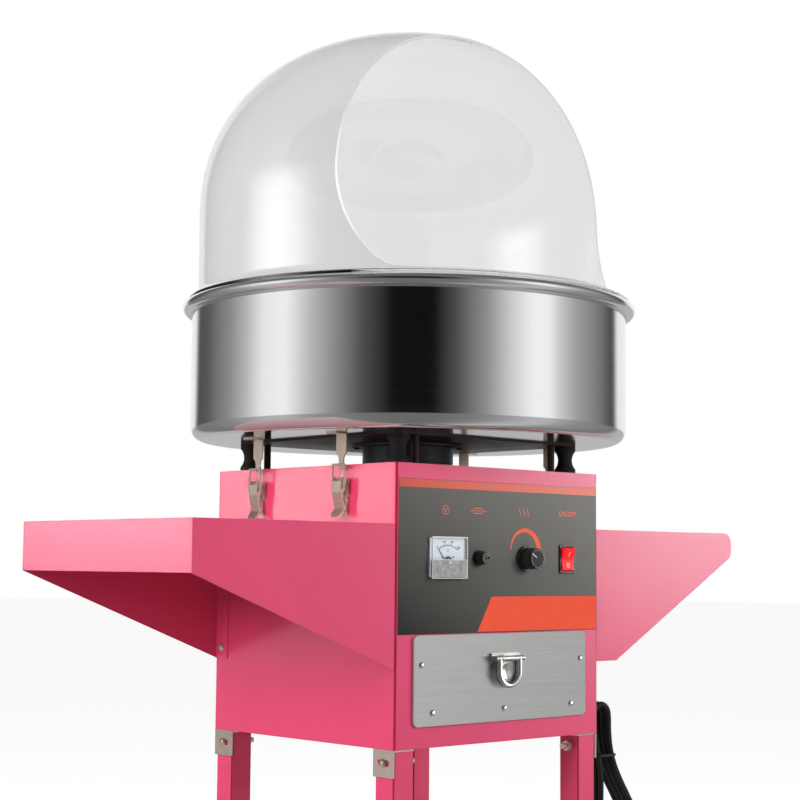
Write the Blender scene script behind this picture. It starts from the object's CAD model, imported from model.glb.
import bmesh
import bpy
import math
import numpy as np
from mathutils import Matrix, Vector


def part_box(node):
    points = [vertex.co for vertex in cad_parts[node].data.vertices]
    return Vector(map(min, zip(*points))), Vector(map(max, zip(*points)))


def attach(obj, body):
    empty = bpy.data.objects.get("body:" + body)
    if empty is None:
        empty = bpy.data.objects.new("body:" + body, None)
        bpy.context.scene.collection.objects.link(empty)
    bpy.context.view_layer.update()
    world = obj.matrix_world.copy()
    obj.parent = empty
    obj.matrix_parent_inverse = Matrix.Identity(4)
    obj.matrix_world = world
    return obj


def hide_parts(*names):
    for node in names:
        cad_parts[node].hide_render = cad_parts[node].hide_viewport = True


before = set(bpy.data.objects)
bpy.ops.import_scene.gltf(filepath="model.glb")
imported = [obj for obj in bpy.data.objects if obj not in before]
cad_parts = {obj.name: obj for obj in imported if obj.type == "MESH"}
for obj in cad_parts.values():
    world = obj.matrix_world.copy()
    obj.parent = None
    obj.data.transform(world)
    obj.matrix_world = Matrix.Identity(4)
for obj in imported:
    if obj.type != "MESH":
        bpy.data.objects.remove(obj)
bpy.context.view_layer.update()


# Lowest corner, highest corner and middle of a CAD node, in metres
def spot(node):
    low, high = (np.array(v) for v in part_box(node))
    return [np.round(v, 6).tolist() for v in (low, high, (low + high) / 2)]


# Places that the pieces share with the CAD
bowlZ = spot("bowl")[0][2]
panelY, overlayZ = spot("control_overlay")[0][1:]
overlayHalf = spot("control_overlay")[1][0]
pivotX, rowZ = spot("meter_case")[2][0], spot("meter_case")[2][2]     # rowZ: middle of the row of controls
gland, plugTop = spot("cord_gland"), spot("plug")[1][2]

# Camera, solved from the photo's edges
view = dict(
    place=(-1.35765, -1.45549, 0.7467),      # metres
    yaw=0.7459, pitch=0.0949, roll=0.0086,   # radians
    focal=1734.3, across=800,                # focal length and picture width, in pixels
    film=36)                                 # millimetres


# The camera's axes: it looks along its yaw and pitch, with its right and up turned about that by its roll
def aim(yaw, pitch, roll):
    ahead = Vector((math.sin(yaw), math.cos(yaw), 0)) * math.cos(pitch) + Vector((0, 0, math.sin(pitch)))
    right = Vector((math.cos(yaw), -math.sin(yaw), 0))
    up = right.cross(ahead)
    side = right * math.cos(roll) + up * math.sin(roll)
    top = up * math.cos(roll) - right * math.sin(roll)
    return Matrix((side, top, -ahead)).transposed()


camData = bpy.data.cameras.new("photoCamera")
camData.sensor_width = view["film"]
camData.lens = view["focal"] * view["film"] / view["across"]
camera = bpy.data.objects.new("photoCamera", camData)
cameraTurn = aim(view["yaw"], view["pitch"], view["roll"]).to_4x4()
camera.matrix_world = Matrix.Translation(view["place"]) @ cameraTurn
bpy.context.collection.objects.link(camera)
bpy.context.scene.camera = camera
print("camera set")


# A screen colour from 0 to 255 as linear light, by the screen's curve
def linear(c):
    return [((v / 255 + 0.055) / 1.055) ** 2.4 if v > 10 else v / 255 / 12.92 for v in c]


# A node tree, and short ways to fill it
class Graph:
    def __init__(self, tree):
        self.tree = tree

    # Gives an input, by its name or number, a value or another node's output
    def feed(self, node, key, source):
        if isinstance(source, bpy.types.NodeSocket):
            self.tree.links.new(source, node.inputs[key])
        else:
            node.inputs[key].default_value = source

    # A new node: its inputs in feeds, its other settings by name
    def add(self, kind, feeds=None, **settings):
        made = self.tree.nodes.new("ShaderNode" + kind)
        for k, v in settings.items():
            setattr(made, k, v)
        for k, v in (feeds or {}).items():
            self.feed(made, k, v)
        return made

    # One sum of some values
    def math(self, operation, *values, **settings):
        return self.add("Math", dict(enumerate(values)), operation=operation, **settings).outputs[0]

    # Two colours mixed by a share
    def mix(self, share, one, other):
        return self.add("Mix", {0: share, 6: one, 7: other}, data_type="RGBA").outputs[2]

    # One of a vector's three numbers
    def part(self, vector, axis):
        return self.add("SeparateXYZ", {0: vector}).outputs[axis]

    # How far a value is on its way from a start to an end, as a share
    def share(self, value, start, end, way="LINEAR"):
        feeds = {"Value": value, "From Min": start, "From Max": end}
        return self.add("MapRange", feeds, interpolation_type=way).outputs[0]

    # Colour by a value, in straight lines between stops of (value, colour or grey)
    def ramp(self, source, stops):
        made = self.add("ValToRGB", {"Fac": source})
        marks = made.color_ramp.elements
        for i, (at, c) in enumerate(stops):
            mark = marks[i] if i < 2 else marks.new(at)
            mark.position = at
            mark.color = (*(c if hasattr(c, "__len__") else (c,) * 3), 1)
        return made.outputs["Color"]


looks = {}
noiseLow, noiseHigh = 0.3, 0.7       # most of a noise's values lie between these


class Look(Graph):
    def __init__(self, name, **values):
        looks[name] = bpy.data.materials.new(name)
        looks[name].use_nodes = True
        super().__init__(looks[name].node_tree)
        self.bsdf = self.tree.nodes["Principled BSDF"]
        self.coord = self.add("TexCoord").outputs["Object"]
        self.put(**values)

    # Values or outputs for the finish's own inputs, with an underscore for each blank
    def put(self, **values):
        for k, v in values.items():
            self.feed(self.bsdf, k.replace("_", " "), v)

    # Noise with so many swells to the metre, alike on all axes or one number for each
    def noise(self, scale, detail=3, rough=0.5):
        scales = scale if hasattr(scale, "__len__") else (scale,) * 3
        place = self.add("Mapping", {"Vector": self.coord, "Scale": scales}).outputs[0]
        made = self.add("TexNoise", {"Vector": place, "Scale": 1, "Detail": detail, "Roughness": rough})
        return made.outputs["Fac"]

    # A colour darker by a share where a source is low, and paler by it where the source is high
    def shades(self, c, share, source):
        dark = [v * (1 - share) for v in c]
        pale = [min(1, v * (1 + share)) for v in c]
        return self.ramp(source, [(noiseLow, dark), (noiseHigh, pale)])

    # Roughness from low to high as a source rises
    def roughen(self, low, high, source):
        self.put(Roughness=self.ramp(source, [(noiseLow, low), (noiseHigh, high)]))

    # Relief by a source, its depth in metres, over edges rounded by a radius
    def relief(self, source, depth, edge=0):
        feeds = {"Height": source, "Strength": 1, "Distance": depth}
        if edge:
            feeds["Normal"] = self.add("Bevel", {"Radius": edge}, samples=4).outputs[0]
        self.put(Normal=self.add("Bump", feeds).outputs[0])

    # Colour by the place along an axis, from one place to another
    def along(self, axis, start, end, stops, way="LINEAR"):
        return self.ramp(self.share(self.part(self.coord, axis), start, end, way), stops)


# Powder coat: slight orange peel and a soft drift of tone
paint = dict(
    colour=(224, 66, 110), drift=0.035, driftScale=9,
    bend=(128, 8, 28), bendStops=[(0.22, 0.0), (0.42, 0.8)],     # upright bends look darker than the faces
    mirrored=(202, 188, 188), mirrorShare=0.8,                   # metal mirrors the paint as a grey pink
    rough=(0.42, 0.5), roughScale=60, peelScale=900, peel=0.00002, edge=0.0009,
    coat=dict(Coat_Weight=0.4, Coat_Roughness=0.17, Specular_IOR_Level=0.2))
m = Look("pinkPaint", Metallic=0, **paint["coat"])
tone = m.shades(linear(paint["colour"]), paint["drift"], m.noise(paint["driftScale"]))
facing = m.add("TexCoord").outputs["Normal"]
bend = m.math("ABSOLUTE", m.math("MULTIPLY", m.part(facing, 0), m.part(facing, 1)))
bent = m.mix(m.ramp(bend, paint["bendStops"]), tone, (*linear(paint["bend"]), 1))
mirrored = m.math("MULTIPLY", m.add("LightPath").outputs["Is Glossy Ray"], paint["mirrorShare"])
m.put(Base_Color=m.mix(mirrored, bent, (*linear(paint["mirrored"]), 1)))
m.roughen(*paint["rough"], m.noise(paint["roughScale"]))
m.relief(m.noise(paint["peelScale"], 2), paint["peel"], paint["edge"])


# Colour drifts with the tone noise, roughness with the wear noise, and the grain noise gives the relief
def finish(name, base, drift, tone, rough, wear, grain, depth, edge=0.0, **values):
    made = Look(name, **values)
    made.put(Base_Color=made.shades(linear(base), drift, made.noise(*tone)))
    made.roughen(*rough, made.noise(*wear))
    made.relief(made.noise(*grain), depth, edge)
    return made


# Polished metals: fine hairlines, so many to the metre on each axis, and faint wipe marks a third as fine
def polished(name, base, hair, rough, edge=0.0, drift=0.05, **values):
    lines, wipes = (hair, 4, 0.65), ([h * 0.3 for h in hair], 3)
    return finish(name, base, drift, lines, rough, wipes, lines, drift * 0.00012, edge, Metallic=1, **values)


even = (120, 120, 120)      # the same grain on every axis
metals = dict(
    bowlSteel=dict(base=(228, 228, 228), hair=(5, 5, 1600), rough=(0.09, 0.13), drift=0.012, Anisotropic=0.3),
    drawerSteel=dict(base=(234, 234, 232), hair=(9, 60, 1500), rough=(0.28, 0.42), edge=0.0006, drift=0.09),
    galvanised=dict(base=(170, 174, 176), hair=(40, 40, 40), rough=(0.35, 0.5)),
    shaftSteel=dict(base=(196, 196, 196), hair=(60, 60, 900), rough=(0.22, 0.32)),
    headMetal=dict(base=(214, 214, 214), hair=(400, 400, 40), rough=(0.2, 0.3), edge=0.0004),
    zinc=dict(base=(248, 231, 213), hair=even, rough=(0.28, 0.4), edge=0.0004),
    chrome=dict(base=(226, 226, 226), hair=even, rough=(0.1, 0.16), edge=0.0004, drift=0.02),
    pullMetal=dict(base=(196, 196, 194), hair=even, rough=(0.3, 0.36), edge=0.0004, drift=0.02),
    brass=dict(base=(205, 168, 96), hair=(300, 300, 90), rough=(0.2, 0.3)))
for name, values in metals.items():
    made = polished(name, **values)
    if name == "bowlSteel":      # its wipe marks run round the axis
        made.put(Tangent=made.add("Tangent", direction_type="RADIAL", axis="Z").outputs[0])

# Cast and painted metals
castMetals = dict(
    heaterMetal=dict(base=(112, 92, 80), drift=0.3, tone=(70, 5), rough=(0.45, 0.65), wear=(90,),
                     grain=(500,), depth=0.00004, Metallic=0.8),
    motorMetal=dict(base=(96, 100, 106), drift=0.12, tone=(30,), rough=(0.42, 0.55), wear=(110,),
                    grain=(700, 2), depth=0.00005, edge=0.0008, Metallic=0.55),
    darkSteel=dict(base=(58, 42, 42), drift=0.15, tone=(40,), rough=(0.4, 0.5), wear=(80,),
                   grain=(800, 2), depth=0.00002, edge=0.0006, Metallic=0.2))
for name, values in castMetals.items():
    finish(name, **values)


# Moulded plastics, rubbers and inks: a fine grain, and gloss that drifts a fifth as finely
def moulded(name, base, drift, rough, fine, depth, edge=0.0004, **values):
    return finish(name, base, drift, (45,), rough, (fine * 0.2,), (fine, 2), depth, edge,
                  Metallic=0, **values)


ink = dict(drift=0.02, rough=(0.32, 0.4), fine=900, depth=0.000004)
cordSkin = dict(base=(22, 22, 23), drift=0.15, rough=(0.36, 0.5), fine=700, depth=0.00002)
plastics = dict(
    blackPlastic=dict(base=(24, 25, 26), drift=0.12, rough=(0.24, 0.34), fine=1500, depth=0.000012),
    whitePlastic=dict(base=(236, 236, 233), drift=0.02, rough=(0.35, 0.45), fine=900, depth=0.00002,
                      edge=0.001),
    dialWhite=dict(base=(196, 202, 210), drift=0.02, rough=(0.45, 0.55), fine=1200, depth=0.000005),
    caseBandFrost=dict(base=(190, 192, 190), drift=0.05, rough=(0.2, 0.45), fine=160, depth=0.0003,
                       edge=0.0002, Transmission_Weight=0.3),
    caseEdge=dict(base=(246, 248, 248), drift=0.02, rough=(0.1, 0.2), fine=400, depth=0.00002,
                  edge=0.0002, Transmission_Weight=0.2),
    rubberBlack=dict(base=(26, 26, 27), drift=0.15, rough=(0.5, 0.65), fine=1200, depth=0.00003),
    cordRubber=cordSkin,
    plugBody=cordSkin,
    tyreRubber=dict(base=(30, 30, 31), drift=0.18, rough=(0.6, 0.75), fine=600, depth=0.00006, edge=0.0012),
    board=dict(base=(58, 86, 66), drift=0.15, rough=(0.4, 0.5), fine=400, depth=0.00002),
    tieVinyl=dict(base=(44, 44, 46), drift=0.1, rough=(0.3, 0.4), fine=500, depth=0.00001),
    knobFace=dict(base=(52, 54, 55), drift=0.1, rough=(0.32, 0.42), fine=1800, depth=0.00001),
    printOrange=dict(base=(250, 112, 82), **ink),
    printStrip=dict(base=(250, 112, 82), **ink),
    printBanner=dict(base=(250, 88, 58), **ink),
    printSalmon=dict(base=(246, 136, 120), drift=0.03, rough=(0.35, 0.42), fine=900, depth=0.000004),
    printWhite=dict(base=(244, 244, 242), drift=0.02, rough=(0.35, 0.42), fine=900, depth=0.000004),
    redLens=dict(base=(236, 20, 28), drift=0.05, rough=(0.14, 0.2), fine=700, depth=0.000006,
                 Transmission_Weight=0.25, Emission_Color=(1, 0.02, 0.025, 1), Emission_Strength=0.3),
    domeEdge=dict(base=(236, 236, 238), drift=0.01, rough=(0.4, 0.5), fine=300, depth=0.00001, edge=0,
                  Transmission_Weight=0.5, Emission_Color=(1, 1, 1, 1), Emission_Strength=0.25))
plasticLooks = {name: moulded(name, **values) for name, values in plastics.items()}

# The frosted band of the meter's case has broad streaks, and the print strip is paler to its right
streaks = dict(base=(186, 188, 186), drift=0.3, noise=((190, 1, 150), 2, 0.7))
m = plasticLooks["caseBandFrost"]
m.put(Base_Color=m.shades(linear(streaks["base"]), streaks["drift"], m.noise(*streaks["noise"])))
stripStops = [(0.0, linear((214, 92, 78))), (1.0, linear((255, 152, 136)))]
m = plasticLooks["printStrip"]
m.put(Base_Color=m.along(0, -overlayHalf, overlayHalf, stripStops))

# The plug's pins are bare brass below its moulded body
pins = dict(body=0.0391, brass=(214, 186, 120), rough=[(0, 0.43), (1, 0.22)])
m = plasticLooks["plugBody"]
below = m.math("LESS_THAN", m.part(m.coord, 2), plugTop - pins["body"])
m.put(Metallic=below, Roughness=m.ramp(below, pins["rough"]),
      Base_Color=m.ramp(below, [(0.0, linear(cordSkin["base"])), (1.0, linear(pins["brass"]))]))

# Panel film: charcoal with a fine grain, paler along a slope towards its upper right
film = dict(dark=(34, 35, 34), pale=(138, 136, 130), slope=(1.68, 0, 3.03), start=1.79,
            rough=(0.34, 0.44), roughScale=1400, grainScale=2600, grain=0.000012, edge=0.0004)
m = Look("overlayFilm", Metallic=0, Specular_IOR_Level=0.3)
upSlope = m.add("VectorMath", {0: m.coord, 1: film["slope"]}, operation="DOT_PRODUCT").outputs["Value"]
m.put(Base_Color=m.ramp(m.math("SUBTRACT", upSlope, film["start"]),
                        [(0.0, linear(film["dark"])), (1.0, linear(film["pale"]))]))
m.roughen(*film["rough"], m.noise(film["roughScale"]))
m.relief(m.noise(film["grainScale"], 2), film["grain"], film["edge"])


# Clear acrylic, with a faint swell in its faces
def clearLook(name, rough, **values):
    made = Look(name, Metallic=0, **values)
    made.roughen(*rough, made.noise(12))
    made.relief(made.noise(14, 1), 0.00002)
    return made


acrylic = dict(
    domeTint=[(0.0, (0.868, 0.864, 0.872)), (1.0, (0.775, 0.771, 0.779))],
    domeSpan=(-0.2, 0.15),          # the tint's first and last place along X
    caseTint=(0.96, 0.97, 0.98), caseDrift=0.004, caseScale=5)
m = clearLook("clearDome", (0.0, 0.012), IOR=1.46, Transmission_Weight=1.0)
m.put(Base_Color=m.along(0, *acrylic["domeSpan"], acrylic["domeTint"], "SMOOTHSTEP"))
m = clearLook("clearCase", (0.02, 0.05), IOR=1.25, Transmission_Weight=0.97)
m.put(Base_Color=m.shades(acrylic["caseTint"], acrylic["caseDrift"], m.noise(acrylic["caseScale"])))

latchParts = [f"{part}_{side}_{end}" for part in ("lever", "bail") for side in ("left", "right")
              for end in ("front", "rear")]
lookNodes = dict(
    pinkPaint=["cabinet_shell", "base_plate", "left_tray", "right_tray", "left_legs", "right_legs",
               "lower_shelf"],
    zinc=["bowl_strikes", "latch_bases", "leg_brackets", "frame_bolts", "axle_caps", *latchParts],
    chrome=["drawer_screws"], pullMetal=["pull_bracket", "pull_ring"], drawerSteel=["drawer_front"],
    galvanised=["drawer_box", "drawer_rails"], bowlSteel=["bowl"], shaftSteel=["spindle", "axle"],
    headMetal=["head_cap", "head_band", "head_base"],
    heaterMetal=["head_heater"], brass=["slip_rings"], motorMetal=["motor"],
    darkSteel=["support_plate"], clearDome=["dome"], clearCase=["meter_case"], dialWhite=["meter_dial"],
    blackPlastic=["brush_block", "meter_needle", "meter_movement", "fuse_holder", "fuse_cap", "heat_knob",
                  "switch_bezel"],
    redLens=["switch_rocker"], board=["heat_control"], overlayFilm=["control_overlay"],
    rubberBlack=["rubber_mounts", "feet", "cord_gland"], cordRubber=["cord_lead", "cord_hank"],
    tieVinyl=["cord_tie"], plugBody=["plug"], whitePlastic=["front_wheel_rim", "rear_wheel_rim"],
    tyreRubber=["front_wheel_tyre", "rear_wheel_tyre"])
for lookName, nodes in lookNodes.items():
    for node in nodes:
        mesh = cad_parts[node].data
        mesh.materials.clear()
        mesh.materials.append(looks[lookName])
print("materials set")


# A piece's data in the scene, on a body of the frame; stands names the nodes that it is shown for
def place(name, data, body, slot=None, stands=()):
    obj = bpy.data.objects.new(name, data)
    bpy.context.collection.objects.link(obj)
    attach(obj, body)
    if stands:
        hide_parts(*stands)
    return obj


# A mesh from an array of points and a list of arrays of faces
def meshOf(name, verts, faces, finishes, smooth):
    mesh = bpy.data.meshes.new(name)
    mesh.from_pydata(verts.tolist(), [], [face for some in faces for face in some.tolist()])
    for one in finishes:
        mesh.materials.append(looks[one])
    mesh.polygons.foreach_set("use_smooth", [smooth] * len(mesh.polygons))
    return mesh


# A piece from a shape: its points, and its faces
def piece(name, shape, finishName, body, smooth=False, slot=None, stands=()):
    mesh = meshOf(name, *shape, [finishName], smooth)
    mesh.validate()
    mesh.update()
    return place(name, mesh, body, slot, stands)


# Quads between neighbours in a grid of point numbers; closed rows or columns run on to the first
def gridFaces(k, rowsClosed=False, columnsClosed=False):
    down, across = np.roll(k, -1, 0), np.roll(k, -1, 1)
    quads = np.stack([k, across, np.roll(down, -1, 1), down], -1)
    return quads[:None if rowsClosed else -1, :None if columnsClosed else -1].reshape(-1, 4)


# A closed profile of (radius, height), turned round Z in so many steps
def revolve(profile, steps, z):
    r, h = np.array(profile).T
    a = np.linspace(0, 2 * math.pi, steps, endpoint=False)[:, None]
    verts = np.stack([r * np.cos(a), r * np.sin(a), z + h + 0 * a], -1)
    k = np.arange(steps * len(r)).reshape(steps, len(r))
    return verts.reshape(-1, 3), [gridFaces(k.T, True, True)]


# Points round a centre, at one radius or a radius for each, from one angle in degrees to another
def arc(cx, cy, r, start, end, steps):
    a = np.radians(np.linspace(start, end, steps + 1))
    return np.stack([cx + r * np.cos(a), cy + r * np.sin(a)], -1)


# Points round a centre, once about
def disc(x, z, r, steps=24):
    return arc(x, z, r, 0, 360, steps)[:-1]


# Four corners, from the lowest left one round
def oblong(left, low, right, high):
    return np.array([(left, low), (right, low), (right, high), (left, high)])


# Points of (x, z) at a depth along Y
def upright(points, y):
    return np.insert(points, 1, y, 1)


# An outline with a front and a back, and walls between them; lay puts its points at a depth
def plate(outline, front, back, lay=upright):
    n = len(outline)
    k = np.arange(n)
    walls = np.stack([k, k + n, np.roll(k, -1) + n, np.roll(k, -1)], -1)
    return np.vstack([lay(outline, front), lay(outline, back)]), [k[None], (2 * n - 1 - k)[None], walls]


# A band between a line of points on its right and one on its left, with a front, a back and walls
def band(right, left, front, back, lay=upright, closed=False):
    corners = np.stack([lay(left, front), lay(right, front), lay(right, back), lay(left, back)], 1)
    k = np.arange(4 * len(right)).reshape(-1, 4)
    ends = [] if closed else [k[:1, ::-1], k[-1:]]
    return corners.reshape(-1, 3), [gridFaces(k, closed, True), *ends]


# Several shapes as one
def joined(shapes):
    firsts = np.cumsum([0] + [len(verts) for verts, faces in shapes])
    return (np.vstack([verts for verts, faces in shapes]),
            [some + first for (verts, faces), first in zip(shapes, firsts) for some in faces])


# Mains cord, in millimetres as in the CAD: a lead from the gland, a hank, and a tail down to the plug
cord = dict(
    thick=6.5, smooth=3,            # diameter, and steps from one point of its route to the next
    lead=[(0, 0, 0), (5, 0, 0), (10, -2, -1), (15, -8, -3), (18, -17, -7), (18, -27, -13),
          (17, -36, -21), (16, -45, -31), (15, -51, -42), (14, -53, -53), (14, -53, -63)],
    turns=3, top=577, run=150,      # whole turns, the height of their top, and how far they run down
    front=-113, step=7.6,           # depth of the first turn, and from one turn to the next
    middle=179, lean=38,            # the hank's axis along X at its top, and how far out its foot hangs
    half=(13, 10.5, 33), waist=0.3,     # half widths at top, waist and foot; where the waist is on the run
    straights=8, bends=4, tail=30,  # points on each straight and bend, and the stiff end over the plug
    sides=3)                        # how round its skin is
leadFrom = (gland[1][0], gland[2][1], gland[2][2])


# From 0 to 1 along half a cosine wave
def ease(t):
    return (1 - np.cos(math.pi * np.clip(t, 0, 1))) / 2


# Half width at a share of the run: eased from top to waist, and from waist to foot
def hankHalf(u):
    top, narrow, foot = cord["half"]
    share = cord["waist"]
    return np.where(u < share, top + (narrow - top) * ease(u / share),
                    narrow + (foot - narrow) * ease((u - share) / (1 - share)))


# The middle of the hank along X, eased from its top to its foot
def hankAxis(u):
    return cord["middle"] + cord["lean"] * ease(u)


# One turn: down its right side, round its foot, up its left side while it steps forward, and over its top
def hankTurn():
    down = np.arange(cord["straights"]) / cord["straights"]
    up = 1 - down
    bend = math.pi * np.arange(cord["bends"]) / cord["bends"]
    overTop, underFoot = cord["half"][0], cord["half"][2]
    low = cord["top"] - cord["run"]
    x = [hankAxis(down) + hankHalf(down), hankAxis(1) + underFoot * np.cos(bend),
         hankAxis(up) - hankHalf(up), hankAxis(0) - overTop * np.cos(bend)]
    y = [0 * down, 0 * bend, -cord["step"] * ease(down), 0 * bend - cord["step"]]
    z = [cord["top"] - cord["run"] * down, low - underFoot * np.sin(bend),
         cord["top"] - cord["run"] * up, cord["top"] + overTop * np.sin(bend)]
    return np.stack([np.concatenate(v) for v in (x, y, z)], -1)


# A smooth curve through points: in each span a cubic that leaves each end along the line of its neighbours
def rounded(points, steps):
    p = np.vstack([2 * points[0] - points[1], points, 2 * points[-1] - points[-2]])
    a, b, c, d = p[:-3, None], p[1:-2, None], p[2:-1, None], p[3:, None]
    t = np.arange(steps)[:, None] / steps
    spans = 0.5 * (2 * b + (c - a) * t + (2 * a - 5 * b + 4 * c - d) * t ** 2
                   + (3 * b - a - 3 * c + d) * t ** 3)
    return np.vstack([spans.reshape(-1, 3), p[-2]])


layers = np.array([(0, cord["front"] - cord["step"] * k, 0) for k in range(cord["turns"] + 1)])
oneTurn = hankTurn()
lastPoint = cord["turns"] * len(oneTurn) + cord["straights"]      # the last turn ends at the hank's foot
hank = (oneTurn + layers[:, None]).reshape(-1, 3)[:lastPoint + 1]
tail = [(*hank[-1][:2], z) for z in (cord["top"] - cord["run"] - cord["thick"],
                                     plugTop * 1000 + cord["tail"], plugTop * 1000)]
line = rounded(np.vstack([np.array(leadFrom) * 1000 + cord["lead"], hank, tail]) / 1000, cord["smooth"])
curve = bpy.data.curves.new("mainsCord", "CURVE")
curve.dimensions = "3D"
spline = curve.splines.new("POLY")
spline.points.add(len(line) - 1)
spline.points.foreach_set("co", np.hstack([line, np.ones((len(line), 1))]).ravel())
curve.bevel_depth = cord["thick"] / 2000
curve.bevel_resolution = cord["sides"]
curve.use_fill_caps = True
curve.materials.append(looks["cordRubber"])
mainsCord = place("mainsCord", curve, "stand", "cord", ("cord_lead", "cord_hank"))

# Bowl: floor with a turned-up collar, rounded corner, wall and a rolled rim, as one turned sheet
bowl = dict(
    outer=0.249, deep=0.1505, sheet=0.0015, corner=0.015,
    bead=0.00625, beadStart=-140,              # the rolled rim and where it leaves the wall, in degrees
    hole=0.0785, collar=0.0112, collarRound=0.002,
    flat=(0.10, 0.22), wallTops=(0.1445, 0.142), turnSteps=288)
sheet, corner = bowl["sheet"], bowl["corner"]
inner, cornerR = bowl["outer"] - sheet, bowl["outer"] - corner
hole, collarTop, collarRound = bowl["hole"], bowl["collar"], bowl["collarRound"]
bowlProfile = np.vstack([
    [(hole + sheet, sheet), (hole + sheet, collarTop)],
    arc(hole + sheet / 2, collarTop, sheet / 2, 0, 180, 6),
    [(hole, collarRound)],
    arc(hole + collarRound, collarRound, collarRound, 180, 270, 6),
    np.linspace((bowl["flat"][0], 0), (bowl["flat"][1], 0), 5),
    arc(cornerR, corner, corner, -90, 0, 16),
    np.linspace((bowl["outer"], 2 * corner), (bowl["outer"], bowl["wallTops"][0]), 8),
    arc(inner + bowl["bead"], bowl["deep"], bowl["bead"], bowl["beadStart"], 180, 40),
    np.linspace((inner, bowl["wallTops"][1]), (inner, 2 * corner), 8),
    arc(cornerR, corner, corner - sheet, 0, -90, 16),
    np.linspace((bowl["flat"][1], sheet), (bowl["flat"][0], sheet), 5)])
piece("bowlSkin", revolve(bowlProfile, bowl["turnSteps"], bowlZ), "bowlSteel", "stand", smooth=True,
      slot="bowl_steel", stands=("bowl",))
print("bowl made")

# Dome: a straight wall that flares at its foot and closes as a superellipse, with a mouth in front
dome = dict(
    radius=0.24275, height=0.318, straight=0.107, wall=0.003, flare=0.011, foot=0.00665,
    power=2.2,                # of the superellipse
    mouth=0.104,              # distance of the mouth's plane ahead of the axis
    sweep=0.150, toe=0.040, sweepTurn=math.radians(40), toeLift=0.4,    # arcs at the mouth's foot
    turned=2.9,               # degrees that the dome stands turned in the bowl
    crownEnd=1.999, sharp=40,     # where the rows stop short of the top, and the angle of a hard edge
    merge=0.000004, sliver=0.000001,
    columns=181, frontColumns=48, toeRows=9, flareRows=7, wallRows=34, crownRows=96, capRows=26)
rimZ = bowlZ + bowl["deep"]
flareTop = dome["foot"] + dome["wall"] + dome["flare"]
toeZ = dome["foot"] + dome["wall"] + dome["flare"] * dome["toeLift"]
sweepHigh = dome["sweep"] * math.sin(dome["sweepTurn"])
toeDrop = sweepHigh + dome["toe"] * (1 - math.sin(dome["sweepTurn"]))


# Distance of the mouth's line ahead of the axis at a height: upright, then a wide arc, then a tight one
def mouthLine(z):
    sweep, toe, turned = dome["sweep"], dome["toe"], dome["sweepTurn"]
    down = np.clip(toeZ + toeDrop - z, 0, toeDrop)
    centre = dome["mouth"] + sweep
    wide = centre - np.sqrt(np.maximum(0, sweep ** 2 - np.minimum(down, sweep) ** 2))
    low = down - (sweep - toe) * math.sin(turned)
    tight = centre - (sweep - toe) * math.cos(turned) - np.sqrt(np.maximum(0, toe ** 2 - low ** 2))
    return np.where(down < sweepHigh, wide, tight)


# Radius and height along the wall: t runs from -1 at the foot, by 0 and 1 at the ends of the straight, to 2
def wallProfile(t, inset):
    q = dome["flare"] + inset
    a = np.radians(90 * (1 + np.minimum(t, 0)))
    b = np.radians(90 * np.clip(t - 1, 0, 1))
    r, h = dome["radius"] - inset, dome["height"] - inset
    straight, curved = dome["straight"], 2 / dome["power"]
    radius = np.where(t < 0, dome["radius"] + dome["flare"] - q * np.sin(a), r * np.cos(b) ** curved)
    crown = straight + (h - straight) * np.sin(b) ** curved
    upper = np.where(t < 1, flareTop + (straight - flareTop) * t, crown)
    return radius, np.where(t < 0, flareTop - q * np.cos(a), upper)


# Points of rows (t) by columns (angle from straight ahead)
def wallGrid(t, angle, inset):
    radius, height = (v[:, None] + 0 * angle for v in wallProfile(t, inset))
    return np.stack([radius * np.sin(angle), -radius * np.cos(angle), rimZ + height], -1)


# One skin: a whole foot ring below the mouth, and rows above it that stop at the mouth's line
def domeSkin(inset):
    quarter = math.radians(90)
    toeT = math.acos((flareTop - toeZ) / (dome["flare"] + inset)) / quarter - 1
    closeT = 1 + math.acos((dome["mouth"] / (dome["radius"] - inset)) ** (dome["power"] / 2)) / quarter
    rows = np.concatenate([
        np.linspace(toeT, 0, dome["flareRows"], endpoint=False),
        np.linspace(0, 1, dome["wallRows"], endpoint=False),
        closeT - (closeT - 1) * np.linspace(1, 0, dome["crownRows"], endpoint=False) ** 2,
        np.linspace(closeT, dome["crownEnd"], dome["capRows"])])
    radius, height = wallProfile(rows, inset)
    gap = np.arccos(np.minimum(1, mouthLine(height) / radius))
    gap[-dome["capRows"]:] = 0
    angle = gap[:, None] + (2 * math.pi - 2 * gap)[:, None] * np.linspace(0, 1, dome["columns"])
    front = np.linspace(2 * math.pi - gap[0], 2 * math.pi + gap[0], dome["frontColumns"] + 2)[1:-1]
    wholeRing = np.concatenate([angle[0], front])[None, :]
    foot = wallGrid(np.linspace(-1, toeT, dome["toeRows"]), wholeRing, inset)
    return foot, wallGrid(rows, angle, inset)


# Point numbers of a grid, from the first one on
def numbers(grid, first):
    return np.arange(grid.shape[0] * grid.shape[1]).reshape(grid.shape[:2]) + first


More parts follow.
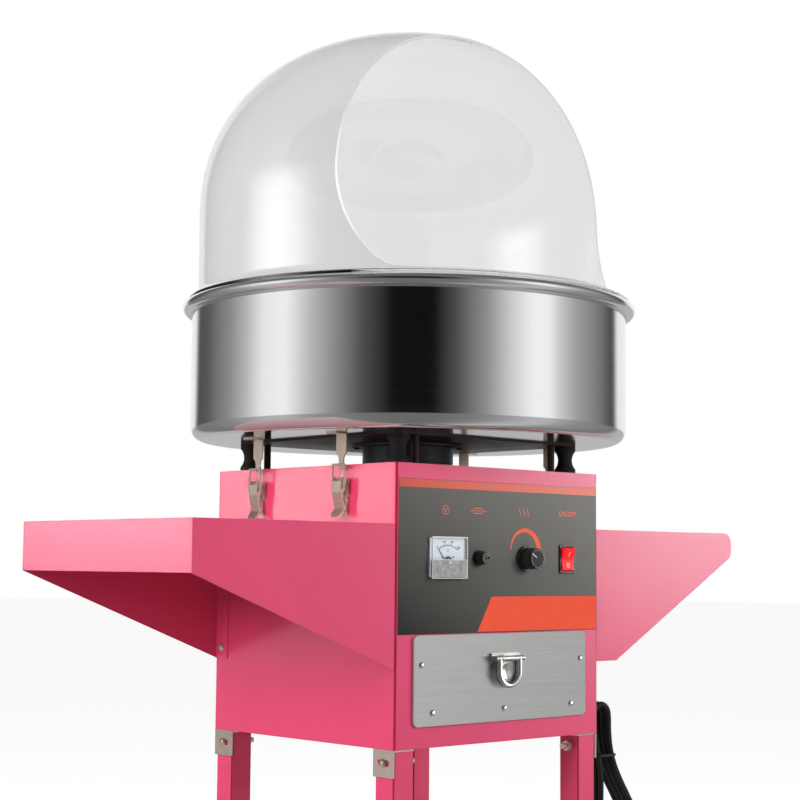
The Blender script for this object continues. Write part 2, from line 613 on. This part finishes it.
verts, walls, edges, first = [], [], [], 0
for inset in (0, dome["wall"]):
    foot, above = domeSkin(inset)
    f = numbers(foot, first)
    k = numbers(above, first + f.size)
    first += f.size + k.size
    openRows = len(k) - dome["capRows"] + 1
    mouth = [k[:openRows, 0][::-1], f[-1, dome["columns"]:][::-1], k[:openRows, -1]]
    edges.append(dict(foot=f[0], crown=k[-1, :-1], mouth=np.concatenate(mouth)))
    walls += [gridFaces(f, columnsClosed=True), gridFaces(k)]
    verts += [foot.reshape(-1, 3), above.reshape(-1, 3)]
out, into = edges
walls.append(np.stack([out["foot"], into["foot"], np.roll(into["foot"], -1), np.roll(out["foot"], -1)], -1))
cut = np.stack([out["mouth"][:-1], out["mouth"][1:], into["mouth"][1:], into["mouth"][:-1]], -1)
crowns = [out["crown"][None], into["crown"][None]]
turn = np.array(Matrix.Rotation(math.radians(dome["turned"]), 3, "Z"))
domeMesh = meshOf("domeShell", np.vstack(verts) @ turn.T, [*walls, cut, *crowns],
                  ["clearDome", "domeEdge"], True)
wallCount = sum(len(some) for some in walls)
domeMesh.polygons.foreach_set("material_index", [0] * wallCount + [1] * len(cut) + [0] * len(crowns))
bm = bmesh.new()
bm.from_mesh(domeMesh)
bmesh.ops.remove_doubles(bm, verts=bm.verts, dist=dome["merge"])
bmesh.ops.dissolve_degenerate(bm, edges=bm.edges, dist=dome["sliver"])
bmesh.ops.recalc_face_normals(bm, faces=bm.faces)
openEdges = sum(e.is_boundary or not e.is_manifold for e in bm.edges)
print("dome open edges", openEdges, "volume", bm.calc_volume())
bm.to_mesh(domeMesh)
bm.free()
domeShell = place("domeShell", domeMesh, "dome", "clear_plastic", ("dome",))
bpy.context.view_layer.objects.active = domeShell
domeShell.select_set(True)
bpy.ops.object.shade_smooth_by_angle(angle=math.radians(dome["sharp"]))
domeShell.select_set(False)
domeShell.visible_shadow = False      # clear pieces throw no shadow
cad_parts["meter_case"].visible_shadow = False
print("dome made", len(domeMesh.polygons))

# Panel print, as thin films: heights are over the foot of the overlay
prints = dict(
    proud=0.00012, thick=0.00022, halfWide=0.1525,
    strip=(0.1512, 0.1596), banner=(0.001, 0.038), bannerLeft=(-0.0384, -0.0168),    # left at foot and head
    signs=0.1290, voltRing=(0.0050, 0.0043),
    voltStroke=[(0.0024, 0.0024), (0.0016, 0.0024), (-0.0001, -0.0026), (0.0006, -0.0026)],
    fuseX=-0.038,
    fuseBars=[(-0.0090, 0, 0.0060, 0.0009), (0.0090, 0, 0.0060, 0.0009), (0, 0, 0.0120, 0.0007),
              (0, 0.0028, 0.0140, 0.0009), (0, -0.0028, 0.0140, 0.0009), (-0.0066, 0, 0.0009, 0.0064),
              (0.0066, 0, 0.0009, 0.0064)],        # across, up, width, height
    heatX=0.0335, heatStep=0.006, waveTurn=6.28, waveHalf=0.0012, waveHigh=0.0088, waveLine=0.0005,
    crescent=(0.0275, 0.0215), crescentIn=0.019995, crescentRise=0.0085, crescentAngles=(2, 178),
    switchX=0.104, switchSize=0.0078, switchBold=0.00018)
filmY = panelY - prints["proud"]
filmBack = filmY + prints["thick"]
signZ = overlayZ + prints["signs"]


# Shapes as one piece on the cart's stand, in one ink
def printed(name, shapes, inkName):
    piece(name, joined(shapes), inkName, "stand")


bannerLow, bannerHigh = (overlayZ + v for v in prints["banner"])
leftLow, leftHigh = prints["bannerLeft"]
right = prints["halfWide"]
bannerLine = [(leftLow, bannerLow), (right, bannerLow), (right, bannerHigh), (leftHigh, bannerHigh)]
stripLow, stripHigh = (overlayZ + v for v in prints["strip"])
stripLine = oblong(-right, stripLow, right, stripHigh)
printed("printStrip", [plate(stripLine, filmY, filmBack)], "printStrip")
printed("printBanner", [plate(np.array(bannerLine), filmY, filmBack)], "printBanner")

# The signs: a ring with a V, a fuse, and three waves of heat
signs = [band(*(disc(pivotX, signZ, r, 32) for r in prints["voltRing"]), filmY, filmBack, closed=True)]
for side in (-1, 1):
    stroke = np.array(prints["voltStroke"]) * (side, 1) + (pivotX, signZ)
    signs.append(plate(stroke[::side], filmY, filmBack))
for x, z, w, h in prints["fuseBars"]:
    bar = oblong(x - w / 2, z - h / 2, x + w / 2, z + h / 2) + (prints["fuseX"], signZ)
    signs.append(plate(bar, filmY, filmBack))
t = np.linspace(0, prints["waveTurn"], 15)
wave = np.stack([prints["waveHalf"] * np.sin(t), prints["waveHigh"] * (t / prints["waveTurn"] - 0.5)], -1)
for k in (-1, 0, 1):
    middle = wave + (prints["heatX"] + k * prints["heatStep"], signZ)
    signs.append(band(middle + (prints["waveLine"], 0), middle - (prints["waveLine"], 0), filmY, filmBack))
printed("printSigns", signs, "printSalmon")
swell = np.linspace(*prints["crescent"], 49)
crescent = [arc(prints["heatX"], rowZ + prints["crescentRise"], r, *prints["crescentAngles"], 48)
            for r in (swell, prints["crescentIn"])]
printed("printCrescent", [band(*crescent, filmY, filmBack)], "printOrange")
print("print made")

# Voltmeter: scale, ticks and figures on the dial, and the black cover of its pivot
meter = dict(
    pivotDrop=0.00945, swing=38, steps=15, bigEvery=5,      # degrees each side, and ticks of the scale
    scale=(0.02180, 0.02240),                               # from the pivot, in metres
    tick=((0.0222, 0.0236), 0.0004), bigTick=((0.0222, 0.0250), 0.00055),      # from, to and width
    hub=0.0085, hubRise=0.0024, screw=0.0010, screwX=0.0080, screwRise=0.0103,
    figures=("0", "100", "200", "300"), figureR=0.0272, figureDrop=0.0014, figureSize=0.0034,
    unitRise=0.0165, unitSize=0.0046,
    lift=0.00005, ink=(0, 0.0001), hubInk=(-0.00012, 0.00008), screwInk=(-0.0002, 0.0001))   # fronts, backs
pivotZ = rowZ - meter["pivotDrop"]
dialY = spot("meter_dial")[0][1] - meter["lift"]


# A point at a distance from the needle's pivot, and so many degrees to the right of upright
def pole(r, deg):
    a = np.radians(deg)
    return np.stack([pivotX + r * np.sin(a), pivotZ + r * np.cos(a)], -1)


# A bar along a line from the pivot, between two distances
def tick(span, deg, wide):
    a = math.radians(deg)
    half = np.array((math.cos(a), -math.sin(a))) * wide / 2
    start, end = (pole(r, deg) for r in span)
    return np.array([start - half, start + half, end + half, end - half])


inkFront, inkBack = (dialY + v for v in meter["ink"])
bearings = np.linspace(-meter["swing"], meter["swing"], 20)
scale = [band(*(pole(r, bearings) for r in meter["scale"]), inkFront, inkBack)]
for k in range(meter["steps"] + 1):
    span, wide = meter["bigTick" if k % meter["bigEvery"] == 0 else "tick"]
    mark = tick(span, meter["swing"] * (2 * k / meter["steps"] - 1), wide)
    scale.append(plate(mark, inkFront, inkBack))
printed("dialScale", scale, "blackPlastic")
hubArc = arc(pivotX, pivotZ + meter["hubRise"], meter["hub"], 0, 180, 23)
printed("dialHub", [plate(hubArc, *(dialY + v for v in meter["hubInk"]))], "blackPlastic")
screwDiscs = [disc(pivotX + side * meter["screwX"], pivotZ + meter["screwRise"], meter["screw"])
              for side in (-1, 1)]
screws = [plate(one, *(dialY + v for v in meter["screwInk"])) for one in screwDiscs]
printed("dialScrews", screws, "blackPlastic")

# The meter's case: a frosted lower band, a moulded edge that catches the light, and the zero screw
case = dict(
    front=0.007, halfWide=0.0258, halfHigh=0.0218, edge=0.0014,
    shares=(1, 0.6, 0.5, 0.7),       # of the edge that its top, foot, left and right take
    sideStart=0.0007, sideStop=0.0015,
    band=(-0.0246, -0.0203, 0.0246, -0.0026), step=(-0.0240, -0.0027, 0.0240, -0.0019),
    bandSkin=(-0.00006, 0.00014), edgeSkin=(-0.00007, 0.00008), stepSkin=(-0.00009, 0.00006),
    zero=0.0015, zeroDrop=0.0050, zeroSkin=(-0.0003, 0))


# An outline about the middle of the case, between a front and a back measured from the case's front
def onCase(outline, skin):
    caseFront = panelY - case["front"]
    return plate(outline + (pivotX, rowZ), *(caseFront + v for v in skin))


printed("caseBand", [onCase(oblong(*case["band"]), case["bandSkin"])], "caseBandFrost")
wide, high = case["halfWide"], case["halfHigh"]
topEdge, footEdge, leftEdge, rightEdge = (case["edge"] * share for share in case["shares"])
sideLow, sideHigh = case["sideStart"] - high, high - case["sideStop"]
edgeStrips = [(-wide, high - topEdge, wide, high), (-wide, -high, wide, footEdge - high),
              (-wide, sideLow, leftEdge - wide, sideHigh), (wide - rightEdge, sideLow, wide, sideHigh)]
rim = [onCase(oblong(*strip), case["edgeSkin"]) for strip in edgeStrips]
rim.append(onCase(oblong(*case["step"]), case["stepSkin"]))
printed("caseRim", rim, "caseEdge")
printed("caseZero", [onCase(disc(0, -case["zeroDrop"], case["zero"]), case["zeroSkin"])], "caseEdge")


# Upright text as a flat mesh, centred on a place
def lettering(name, text, size, x, y, z, ink, bold=0.0):
    data = bpy.data.curves.new(name, "FONT")
    data.body = text
    data.size = size
    data.align_x = "CENTER"
    data.align_y = "CENTER"
    data.extrude = 0.00004
    data.offset = bold
    flat = bpy.data.objects.new(name + "Curve", data)
    bpy.context.collection.objects.link(flat)
    mesh = bpy.data.meshes.new_from_object(flat)
    bpy.data.objects.remove(flat)
    mesh.transform(Matrix.Translation((x, y, z)) @ Matrix.Rotation(math.pi / 2, 4, "X"))
    mesh.materials.clear()
    mesh.materials.append(looks[ink])
    return place(name, mesh, "stand")


lastFigure = len(meter["figures"]) - 1
for k, figure in enumerate(meter["figures"]):
    distance = meter["figureR"] - meter["figureDrop"] * abs(k - lastFigure / 2)
    x, z = pole(distance, meter["swing"] * (2 * k / lastFigure - 1))
    lettering(f"dialFigure{k}", figure, meter["figureSize"], x, dialY, z, "blackPlastic")
lettering("dialUnit", "V", meter["unitSize"], pivotX, dialY, pivotZ + meter["unitRise"], "blackPlastic")
lettering("switchSign", "ON/OFF", prints["switchSize"], prints["switchX"], filmY, signZ, "printSalmon",
          prints["switchBold"])

# Knob: a grey face and a white pointer that lies on it
knob = dict(
    face=0.0086, faceSkin=(-0.00015, 0.00025),
    pointer=(-0.0005, 0.0025, 0.0005, 0.0104), pointerSkin=(-0.00028, 0.00002), turned=60)
knobX, knobFront = spot("heat_knob")[2][0], spot("heat_knob")[0][1]
faceDisc = disc(knobX, rowZ, knob["face"], 47)
piece("knobFace", plate(faceDisc, *(knobFront + v for v in knob["faceSkin"])), "knobFace", "heat_knob")
c, s = math.cos(math.radians(knob["turned"])), math.sin(math.radians(knob["turned"]))
pointer = oblong(*knob["pointer"]) @ np.array([(c, s), (-s, c)]) + (knobX, rowZ)
piece("knobPointer", plate(pointer, *(knobFront + v for v in knob["pointerSkin"])), "printWhite", "heat_knob")

# Rocker: a bar above and a ring below, laid on its two sloped faces
rocker = dict(
    drum=0.01315, sunk=0.12, low=0.18, slope=0.28,      # shares of the drum's radius
    tilt=math.radians(9), proud=0.00022, under=-0.0002,
    bar=(-0.0005, 0.0042, 0.0005, 0.0088), ring=(0.0023, 0.0026), ringHole=(0.0014, 0.0017), ringUp=-0.0062)
rockerX = spot("switch_rocker")[2][0]


# Points across and up the rocker: out from its axis by more the further they are from its middle, then tilted
def onRocker(points, lift):
    x, up = np.array(points).T
    drum, tilt = rocker["drum"], rocker["tilt"]
    axis = drum * rocker["sunk"]
    out = axis + drum * rocker["low"] + rocker["slope"] * np.abs(up) + lift
    y = -out * math.cos(tilt) - up * math.sin(tilt)
    z = -out * math.sin(tilt) + up * math.cos(tilt)
    return np.stack([rockerX + x, panelY + axis + y, rowZ + z], -1)


rings = [disc(0, 0, 1, 27) * rocker[kind] + (0, rocker["ringUp"]) for kind in ("ring", "ringHole")]
marks = [plate(oblong(*rocker["bar"]), rocker["proud"], rocker["under"], onRocker),
         band(*rings, rocker["proud"], rocker["under"], onRocker, closed=True)]
piece("rockerMarks", joined(marks), "printWhite", "rocker")
print("controls made")

# The white room: soft panels and dark flags stand round the object, and only mirrors show them
room = dict(
    # brightness from 0 to 255 by bearing
    panels=[(-180, 240), (-151, 240), (-143, 78), (-128, 92), (-105, 146), (-92, 190), (-80, 244), (-66, 254),
            (-52, 196), (-38, 145), (-24, 82), (-9, 16), (13, 14), (24, 80), (40, 150), (56, 224), (66, 254),
            (76, 254), (84, 208), (96, 165), (118, 120), (129, 80), (134, 82), (141, 240), (180, 240)],
    panelGain=1.12, fill=0.3, overhead=0.16, overheadFrom=(0.35, 0.75),
    floor=0.40, floorGlow=0.80, floorSize=60, floorDrop=0.0005, floorMirror=0.56, floorLift=0.32)


# Colours of the panels by a vector's bearing from the camera's heading, raised to a lift and times a gain
def panelRing(graph, vector, gain, lift=0.0):
    c, s = math.cos(view["yaw"]), math.sin(view["yaw"])
    dots = [graph.add("VectorMath", {0: vector, 1: axis}, operation="DOT_PRODUCT").outputs["Value"]
            for axis in ((c, -s, 0), (-s, -c, 0))]
    share = graph.math("MULTIPLY_ADD", graph.math("ARCTAN2", *dots), 1 / (2 * math.pi), 0.5)
    return graph.ramp(share, [(deg / 360 + 0.5, (lift + (1 - lift) * linear((v,))[0]) * gain)
                              for deg, v in room["panels"]])


# Pale floor: white to the camera and through the dome, and a mirror of the panels to metal
m = Look("floorPale", Roughness=0.8, Specular_IOR_Level=0.2, Emission_Color=(1, 1, 1, 1))
m.put(Base_Color=m.shades((room["floor"],) * 3, 0.01, m.noise(2)))
rays = m.add("LightPath").outputs
clear = m.math("MAXIMUM", rays["Is Camera Ray"], rays["Is Transmission Ray"])
m.put(Emission_Strength=m.math("MULTIPLY", clear, room["floorGlow"]))
panels = m.add("Emission", {"Color": panelRing(m, m.coord, 1.0, room["floorLift"]),
                            "Strength": room["floorMirror"]}).outputs[0]
mirrored = m.math("SUBTRACT", rays["Is Glossy Ray"], rays["Is Transmission Ray"], use_clamp=True)
surface = m.add("MixShader", {0: mirrored, 1: m.bsdf.outputs[0], 2: panels}).outputs[0]
m.feed(m.tree.nodes["Material Output"], "Surface", surface)
bpy.ops.mesh.primitive_plane_add(size=room["floorSize"], location=(0, 0, -room["floorDrop"]))
floor = bpy.context.object
floor.name = "paleFloor"
floor.data.materials.append(looks["floorPale"])

# Lights: place, what they face, width and height in metres, and watts
softLights = dict(
    leftSoft=((-3.3, -0.2, 1.8), (-0.1, 0, 0.8), 1.5, 1.4, 98),
    frontSoft=((1.3, -3.3, 1.9), (0, 0, 0.8), 1.4, 1.2, 76),
    topSoft=((0.4, 0.2, 4.2), (0, 0, 0.9), 2.5, 2.5, 46))
painted = [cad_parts[n] for n in lookNodes["pinkPaint"]]
controls = [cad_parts[n] for n in (
    "fuse_holder", "fuse_cap", "heat_knob", "switch_bezel", "switch_rocker", "pull_ring", "pull_bracket",
    "drawer_screws")]
sheens = dict(
    leftSheen=((-2.2, 2.5, 0.95), (-0.28, 0, 0.85), 2.0, 0.9, 62, painted),
    rightSheen=((2.65, -1.85, 1.2), (0.3, -0.15, 0.75), 1.72, 2.2, 175, painted),
    controlSheen=((3.1, -1.2, 1.2), (0.3, -0.15, 0.75), 1.72, 2.2, 620, controls),
    domeSheen=((-2.30, 0.98, 1.5), (0, 0, 1.1), 2.6, 1.3, 44, [domeShell]))


# A soft rectangle of light that no mirror shows
def areaLight(name, at, target, wide, high, power):
    data = bpy.data.lights.new(name, "AREA")
    data.shape = "RECTANGLE"
    data.size = wide
    data.size_y = high
    data.energy = power
    obj = bpy.data.objects.new(name, data)
    obj.location = at
    obj.rotation_euler = (Vector(target) - Vector(at)).to_track_quat("-Z", "Y").to_euler()
    bpy.context.collection.objects.link(obj)
    obj.visible_glossy = False
    obj.visible_transmission = False
    return obj


# A panel that only the gloss of some pieces catches: brightest in its middle, easing to black at its edges
def sheen(name, at, target, wide, high, power, pieces):
    obj = areaLight(name, at, target, wide, high, power)
    obj.visible_glossy = True
    obj.visible_diffuse = False
    obj.data.use_nodes = True
    glow = Graph(obj.data.node_tree)
    across = glow.add("NewGeometry").outputs["Parametric"]
    falls = [glow.ramp(glow.part(across, k), [(0.0, 0.0), (0.5, 1.0), (1.0, 0.0)]) for k in range(2)]
    for fall in falls:
        fall.node.color_ramp.interpolation = "EASE"
    glow.feed(glow.tree.nodes["Emission"], "Strength", glow.math("MULTIPLY", *falls))
    group = bpy.data.collections.new(name + "Pieces")
    for one in pieces:
        group.objects.link(one)
    obj.light_linking.receiver_collection = group


for name, values in softLights.items():
    areaLight(name, *values)
for name, values in sheens.items():
    sheen(name, *values)
for name in ("leftSheen", "rightSheen"):      # not passed on by a second mirror
    bpy.data.lights[name].cycles.max_bounces = 0
    bpy.data.lights[name].cycles.use_multiple_importance_sampling = False
bpy.data.objects["domeSheen"].visible_transmission = True

# The world: white to the camera and through the dome, the panels to mirrors, a soft fill to all else
world = bpy.data.worlds.new("softRoom")
bpy.context.scene.world = world
world.use_nodes = True
world.node_tree.nodes.clear()
sky = Graph(world.node_tree)
direction = sky.add("TexCoord").outputs["Generated"]
ring = panelRing(sky, direction, room["panelGain"])
upward = sky.share(sky.part(direction, 2), *room["overheadFrom"], "SMOOTHSTEP")
overhead = sky.mix(upward, ring, (*(room["overhead"],) * 3, 1))
rays = sky.add("LightPath").outputs
white = (1, 1, 1, 1)
fill = sky.add("Background", {"Color": white, "Strength": room["fill"]}).outputs[0]
panels = sky.add("Background", {"Color": overhead}).outputs[0]
glossy = sky.add("MixShader", {0: rays["Is Glossy Ray"], 1: fill, 2: panels}).outputs[0]
clear = sky.math("MAXIMUM", rays["Is Camera Ray"], rays["Is Transmission Ray"])
backdrop = sky.add("Background", {"Color": white}).outputs[0]
seen = sky.add("MixShader", {0: clear, 1: glossy, 2: backdrop}).outputs[0]
sky.add("OutputWorld", {0: seen})
bpy.context.scene.view_settings.view_transform = "Standard"
print("room made")
